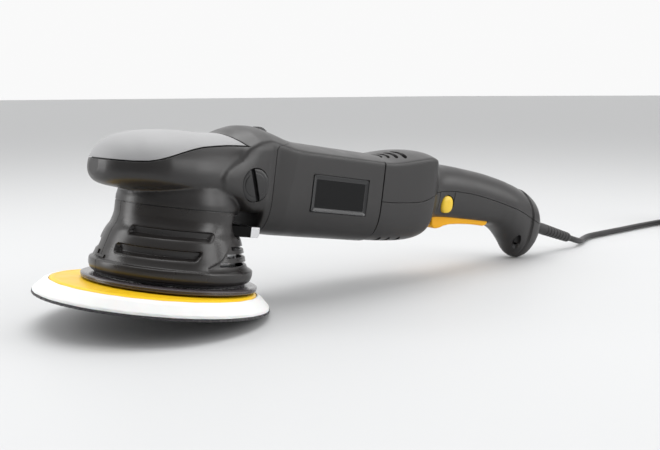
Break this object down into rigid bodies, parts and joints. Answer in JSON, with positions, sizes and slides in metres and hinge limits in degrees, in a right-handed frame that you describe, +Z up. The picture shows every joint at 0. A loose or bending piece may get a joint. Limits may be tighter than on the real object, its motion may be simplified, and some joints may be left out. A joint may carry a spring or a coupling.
{
  "type": "dual action polisher",
  "caption": "Corded random-orbital car polisher: gear head with palm pad, motor barrel, rear paddle-trigger handle, round hook-and-loop backing plate and coiled mains lead.",
  "frame": {"origin": "on the table, at the middle of the tool's footprint box, lead left out", "axes": "+X from the nose to the handle end, +Y to the tool's right-hand side seen from the handle with the nose ahead pointing to -X, +Z up; the tool stands as it rests, on the rear edge of its backing plate and the bottom of its handle end"},
  "size_m": [0.7925, 0.1494, 0.121],
  "materials": {
    "body_plastic": "satin dark grey moulded nylon",
    "shroud_plastic": "semi-gloss dark grey",
    "pad_rubber": "soft-touch light grey",
    "black_plastic": "satin black",
    "gloss_black": "gloss black",
    "yellow_plastic": "semi-gloss yellow",
    "orange_plastic": "satin orange-yellow",
    "foam_white": "white closed-cell foam",
    "hook_fabric": "dark hook fastener",
    "disc_enamel": "dark satin enamel",
    "steel": "machined",
    "aluminium": "die cast",
    "copper": "enamelled copper wire and copper bars",
    "carbon": "graphite block",
    "brass": "folded sheet",
    "board_green": "potted circuit board",
    "cord_rubber": "black rubber sheath"
  },
  "bodies": {
    "tool_body": {"lower_bearing": "steel", "upper_bearing": "steel", "bearing_plate": "aluminium", "gear_case": "aluminium", "front_bearing": "steel", "rear_bearing": "steel", "bearing_bracket": "black_plastic", "field_core": "steel", "field_windings": "copper", "air_baffle": "black_plastic", "brush_holder_left": "brass", "brush_holder_right": "brass", "carbon_brush_left": "carbon", "carbon_brush_right": "carbon", "brush_spring_left": "steel", "brush_spring_right": "steel", "brush_cap_left": "black_plastic", "brush_cap_right": "black_plastic", "shroud_left": "shroud_plastic", "shroud_right": "shroud_plastic", "shroud_clip": "black_plastic", "palm_pad": "pad_rubber", "head_cover": "body_plastic", "motor_housing": "body_plastic", "name_plate_left": "gloss_black", "name_plate_right": "gloss_black", "handle_upper": "body_plastic", "handle_lower": "body_plastic", "handle_screw_left": "steel", "handle_screw_right": "steel", "trigger_pin": "steel", "trigger_spring": "steel", "switch": "black_plastic", "speed_module": "board_green", "cord_clamp": "black_plastic", "strain_relief": "black_plastic", "mains_wiring": "cord_rubber", "cord_lead": "cord_rubber", "cord_coil": "cord_rubber", "cord_plug": "black_plastic"},
    "spindle_drive": {"spindle": "steel", "ring_gear": "steel", "eccentric_hub": "steel", "counterweight": "steel", "balance_disc": "disc_enamel", "plate_bearing": "steel"},
    "backing_plate": {"plate_spindle": "steel", "plate_carrier": "yellow_plastic", "plate_foam": "foam_white", "hook_layer": "hook_fabric", "plate_bolt": "steel"},
    "armature": {"motor_shaft": "steel", "pinion": "steel", "commutator": "copper", "armature_core": "steel", "armature_windings": "copper", "fan": "black_plastic"},
    "trigger": {"trigger": "orange_plastic"},
    "lock_button": {"lock_button": "yellow_plastic"},
    "speed_dial": {"speed_dial": "black_plastic"}
  },
  "joints": [
    {"name": "spindle_spin", "type": "hinge", "parent": "tool_body", "child": "spindle_drive", "pos_m": [-0.16426, 0, 0.0098], "axis": [0.1527, 0, 0.9883], "continuous": true},
    {"name": "plate_spin", "type": "hinge", "parent": "spindle_drive", "child": "backing_plate", "pos_m": [-0.17463, 0, 0.01141], "axis": [0.1527, 0, 0.9883], "continuous": true},
    {"name": "armature_spin", "type": "hinge", "parent": "tool_body", "child": "armature", "pos_m": [-0.15189, 0, 0.08985], "axis": [0.9883, 0, -0.1527], "continuous": true},
    {"name": "trigger_press", "type": "hinge", "parent": "tool_body", "child": "trigger", "pos_m": [0.123, 0, 0.04183], "axis": [0, 1, 0], "range_deg": [0, 4], "stiffness_Nm_per_rad": 2, "springref_deg": -2.01, "deforming": ["trigger_spring"]},
    {"name": "lock_press", "type": "slide", "parent": "tool_body", "child": "lock_button", "axis": [0, 1, 0], "range_m": [0, 0.002], "stiffness_N_per_m": 200, "springref_m": -0.003},
    {"name": "speed_set", "type": "hinge", "parent": "tool_body", "child": "speed_dial", "pos_m": [-0.09327, 0, 0.11237], "axis": [0, 1, 0], "range_deg": [-135, 135]}
  ],
  "couplings": [
    {"joint": "armature_spin", "follows": "spindle_spin", "ratio": 4}
  ]
}
